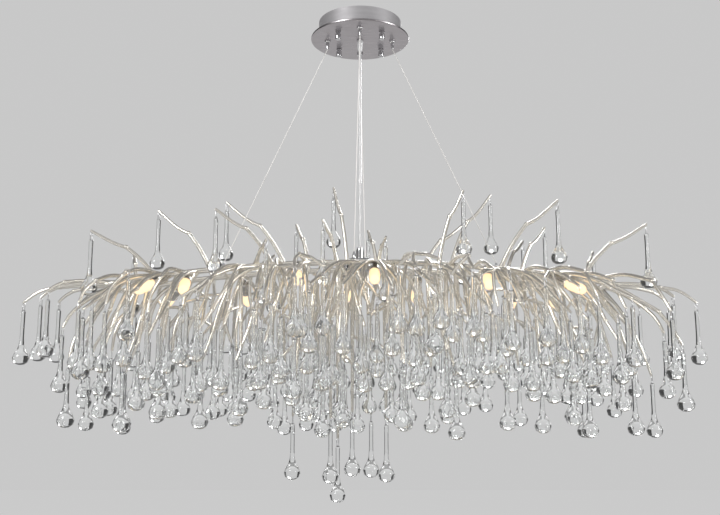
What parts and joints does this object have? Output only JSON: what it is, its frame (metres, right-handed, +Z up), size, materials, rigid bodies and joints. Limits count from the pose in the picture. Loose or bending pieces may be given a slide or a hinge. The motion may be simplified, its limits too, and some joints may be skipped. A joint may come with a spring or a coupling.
{
  "type": "branch chandelier",
  "caption": "Long hanging chandelier with twig-like plated branches, clear glass drops, small capsule lamps and a round ceiling canopy on adjustable wires.",
  "frame": {"origin": "centre of the ceiling bracket's top face, on the ceiling", "axes": "+X along the length, -Y towards the viewer, +Z up into the ceiling"},
  "size_m": [1.1896, 0.4218, 0.8518],
  "materials": {
    "satin_steel": "satin",
    "bright_chrome": "polished",
    "zinc_steel": "zinc plated",
    "steel_wire": "stranded",
    "clear_flex": "clear flexible plastic",
    "terminal_plastic": "moulded",
    "plated_branch": "plated, hammered",
    "lamp_chrome": "polished",
    "frosted_bulb": "frosted, lit",
    "clear_glass": "clear, smooth"
  },
  "bodies": {
    "canopy": {"ceiling_bracket": "zinc_steel", "bracket_studs": "zinc_steel", "canopy_box": "satin_steel", "canopy_plate": "satin_steel", "cap_nuts": "bright_chrome", "wire_grippers": "bright_chrome", "cord_gland": "clear_flex", "terminal_block": "terminal_plastic", "cord_tail": "clear_flex", "wire_left": "steel_wire", "wire_right": "steel_wire", "wire_front": "steel_wire", "wire_back": "steel_wire", "power_cord": "clear_flex"},
    "light": {"back_left_branches": "plated_branch", "back_left_drops": "clear_glass", "back_right_branches": "plated_branch", "back_right_drops": "clear_glass", "bulbs": "frosted_bulb", "centre_branches": "plated_branch", "centre_drops": "clear_glass", "crown_left_branches": "plated_branch", "crown_left_drops": "clear_glass", "crown_right_branches": "plated_branch", "crown_right_drops": "clear_glass", "front_left_branches": "plated_branch", "front_left_drops": "clear_glass", "front_right_branches": "plated_branch", "front_right_drops": "clear_glass", "hub_lid": "bright_chrome", "hub_tube": "bright_chrome", "lamp_arms": "lamp_chrome", "lamp_holders": "lamp_chrome", "left_end_branches": "plated_branch", "left_end_drops": "clear_glass", "lid_nut": "bright_chrome", "rail_back": "plated_branch", "rail_front": "plated_branch", "right_end_branches": "plated_branch", "right_end_drops": "clear_glass", "rungs": "plated_branch", "wire_feet": "bright_chrome", "wiring_hub": "bright_chrome"},
    "crown_10_drop": {"crown_10_drop": "clear_glass"},
    "crown_11_drop": {"crown_11_drop": "clear_glass"},
    "crown_12_drop": {"crown_12_drop": "clear_glass"},
    "crown_13_drop": {"crown_13_drop": "clear_glass"},
    "crown_14_drop": {"crown_14_drop": "clear_glass"},
    "crown_1_drop": {"crown_1_drop": "clear_glass"},
    "crown_2_drop": {"crown_2_drop": "clear_glass"},
    "crown_3_drop": {"crown_3_drop": "clear_glass"},
    "crown_4_drop": {"crown_4_drop": "clear_glass"},
    "crown_6_drop": {"crown_6_drop": "clear_glass"},
    "crown_7_drop": {"crown_7_drop": "clear_glass"},
    "crown_8_drop": {"crown_8_drop": "clear_glass"},
    "crown_9_drop": {"crown_9_drop": "clear_glass"},
    "left_back_drop": {"left_back_drop": "clear_glass"},
    "left_end_drop": {"left_end_drop": "clear_glass"},
    "right_back_drop": {"right_back_drop": "clear_glass"},
    "right_end_drop": {"right_end_drop": "clear_glass"}
  },
  "joints": [
    {"name": "height_adjust", "type": "slide", "parent": "canopy", "child": "light", "axis": [0, 0, 1], "range_m": [0, 0.2], "deforming": ["wire_left", "wire_right", "wire_front", "wire_back", "power_cord"]},
    {"name": "crown_10_drop_swing", "type": "hinge", "parent": "light", "child": "crown_10_drop", "pos_m": [0.18695, 0.074, -0.3659], "axis": [0, 1, 0], "range_deg": [-10, 10]},
    {"name": "crown_11_drop_swing", "type": "hinge", "parent": "light", "child": "crown_11_drop", "pos_m": [0.23896, 0.062, -0.3129], "axis": [0, 1, 0], "range_deg": [-10, 10]},
    {"name": "crown_12_drop_swing", "type": "hinge", "parent": "light", "child": "crown_12_drop", "pos_m": [0.33494, -0.06, -0.35089], "axis": [0, 1, 0], "range_deg": [-10, 10]},
    {"name": "crown_13_drop_swing", "type": "hinge", "parent": "light", "child": "crown_13_drop", "pos_m": [0.33995, 0.076, -0.37068], "axis": [0, 1, 0], "range_deg": [-10, 10]},
    {"name": "crown_14_drop_swing", "type": "hinge", "parent": "light", "child": "crown_14_drop", "pos_m": [0.48197, -0.064, -0.39244], "axis": [0, 1, 0], "range_deg": [-10, 10]},
    {"name": "crown_1_drop_swing", "type": "hinge", "parent": "light", "child": "crown_1_drop", "pos_m": [-0.44602, -0.084, -0.40727], "axis": [0, 1, 0], "range_deg": [-10, 10]},
    {"name": "crown_2_drop_swing", "type": "hinge", "parent": "light", "child": "crown_2_drop", "pos_m": [-0.36802, 0.06, -0.34092], "axis": [0, 1, 0], "range_deg": [-10, 10]},
    {"name": "crown_3_drop_swing", "type": "hinge", "parent": "light", "child": "crown_3_drop", "pos_m": [-0.24279, -0.066, -0.36661], "axis": [0, 1, 0], "range_deg": [-10, 10]},
    {"name": "crown_4_drop_swing", "type": "hinge", "parent": "light", "child": "crown_4_drop", "pos_m": [-0.24415, 0.062, -0.32484], "axis": [0, 1, 0], "range_deg": [-10, 10]},
    {"name": "crown_6_drop_swing", "type": "hinge", "parent": "light", "child": "crown_6_drop", "pos_m": [-0.4139, 0.074, -0.41938], "axis": [0, 1, 0], "range_deg": [-10, 10]},
    {"name": "crown_7_drop_swing", "type": "hinge", "parent": "light", "child": "crown_7_drop", "pos_m": [-0.04893, 0.082, -0.29709], "axis": [0, 1, 0], "range_deg": [-10, 10]},
    {"name": "crown_8_drop_swing", "type": "hinge", "parent": "light", "child": "crown_8_drop", "pos_m": [-0.06199, -0.074, -0.38892], "axis": [0, 1, 0], "range_deg": [-10, 10]},
    {"name": "crown_9_drop_swing", "type": "hinge", "parent": "light", "child": "crown_9_drop", "pos_m": [0.17516, -0.06, -0.33674], "axis": [0, 1, 0], "range_deg": [-10, 10]},
    {"name": "left_back_drop_swing", "type": "hinge", "parent": "light", "child": "left_back_drop", "pos_m": [-0.52018, 0.107, -0.51298], "axis": [0, 1, 0], "range_deg": [-10, 10]},
    {"name": "left_end_drop_swing", "type": "hinge", "parent": "light", "child": "left_end_drop", "pos_m": [-0.58214, 0, -0.51577], "axis": [0, 1, 0], "range_deg": [-10, 10]},
    {"name": "right_back_drop_swing", "type": "hinge", "parent": "light", "child": "right_back_drop", "pos_m": [0.51544, 0.10303, -0.51166], "axis": [0, 1, 0], "range_deg": [-10, 10]},
    {"name": "right_end_drop_swing", "type": "hinge", "parent": "light", "child": "right_end_drop", "pos_m": [0.58214, 0, -0.51577], "axis": [0, 1, 0], "range_deg": [-10, 10]}
  ]
}
